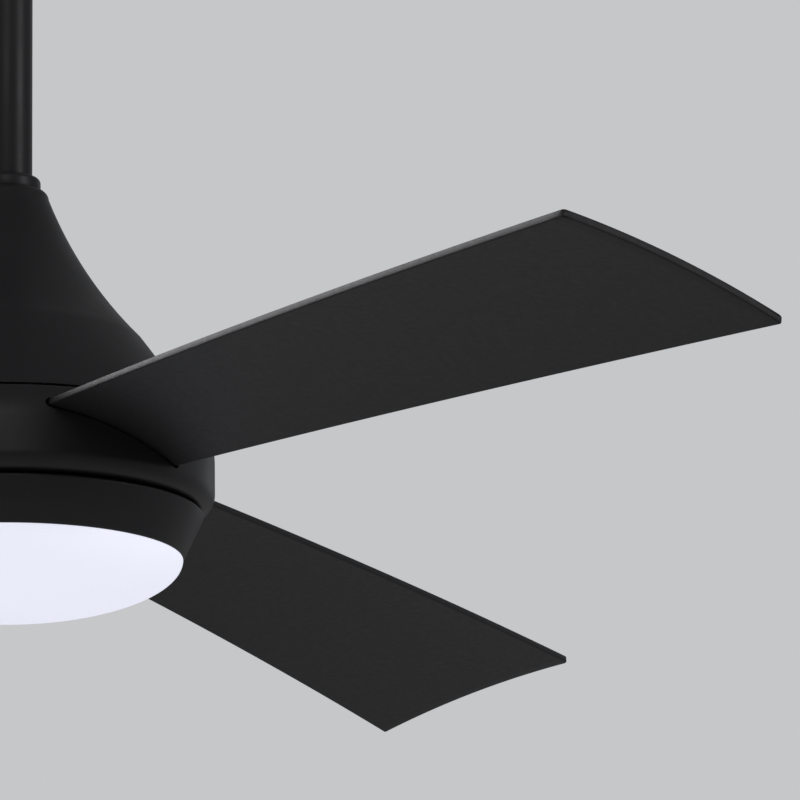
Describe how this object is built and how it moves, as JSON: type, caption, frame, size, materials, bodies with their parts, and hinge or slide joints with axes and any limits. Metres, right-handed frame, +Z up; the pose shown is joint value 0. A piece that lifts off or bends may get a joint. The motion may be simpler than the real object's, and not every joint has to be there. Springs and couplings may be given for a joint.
{
  "type": "ceiling fan with light",
  "caption": "Ceiling fan on a downrod with a trumpet-shaped motor shell, pitched black blades on a turning band and a shallow opal light dome below.",
  "frame": {"origin": "centre of the ceiling bracket's top face, on the ceiling plane", "axes": "+Z up along the downrod, away from the room; +X along the bracket's strap"},
  "size_m": [1.0525, 1.202, 0.5794],
  "materials": {
    "black_paint": "matte black powder coat",
    "black_screw": "satin black",
    "black_rubber": "matte",
    "zinc_steel": "zinc plated",
    "black_plastic": "moulded",
    "steel": "satin",
    "bearing_steel": "polished",
    "cast_zinc": "as cast",
    "lamination": "stacked sheet",
    "copper": "enamelled wire",
    "ferrite": "ground",
    "aluminium": "die cast",
    "black_blade": "matte black",
    "led": "phosphor",
    "opal": "opal satin"
  },
  "bodies": {
    "ceiling_mount": {"ceiling_bracket": "zinc_steel", "canopy": "black_paint", "canopy_screws": "black_screw", "receiver": "black_plastic"},
    "hanging_part": {"downrod": "black_paint", "upper_shell": "black_paint", "light_ring": "black_paint", "rod_collar": "black_rubber", "hanger_ball": "black_plastic", "led_driver": "black_plastic", "ball_pin": "steel", "ball_grub_screw": "steel", "clevis_pin": "steel", "clevis_clip": "steel", "coupling_grub_screws": "steel", "flange_screws": "steel", "shell_screws": "steel", "shaft_circlips": "steel", "ring_screws": "steel", "led_screws": "steel", "led_standoffs": "steel", "shaft_nuts": "steel", "motor_shaft": "steel", "upper_inner_race": "bearing_steel", "lower_inner_race": "bearing_steel", "motor_coupling": "cast_zinc", "shell_plate": "zinc_steel", "light_plate": "zinc_steel", "stator_core": "lamination", "stator_windings": "copper", "led_board": "aluminium", "led_chips": "led", "lens": "opal"},
    "rotor": {"upper_outer_race": "bearing_steel", "lower_outer_race": "bearing_steel", "upper_bearing_balls": "bearing_steel", "lower_bearing_balls": "bearing_steel", "rotor_ring": "steel", "rotor_magnets": "ferrite", "upper_bell": "aluminium", "lower_bell": "aluminium", "bell_screws": "steel", "blade_carrier": "aluminium", "carrier_screws": "steel", "bracket_screws": "steel", "blade_band": "black_paint", "blade_bracket_1": "aluminium", "blade_bracket_2": "aluminium", "blade_bracket_3": "aluminium", "blade_1": "black_blade", "blade_2": "black_blade", "blade_3": "black_blade", "blade_screws": "steel"}
  },
  "joints": [
    {"name": "hanger_swing", "type": "hinge", "parent": "ceiling_mount", "child": "hanging_part", "pos_m": [0, 0, -0.036], "axis": [1, 0, 0], "range_deg": [-5, 5]},
    {"name": "rotor_spin", "type": "hinge", "parent": "hanging_part", "child": "rotor", "pos_m": [0, 0, -0.5], "axis": [0, 0, 1], "continuous": true}
  ]
}
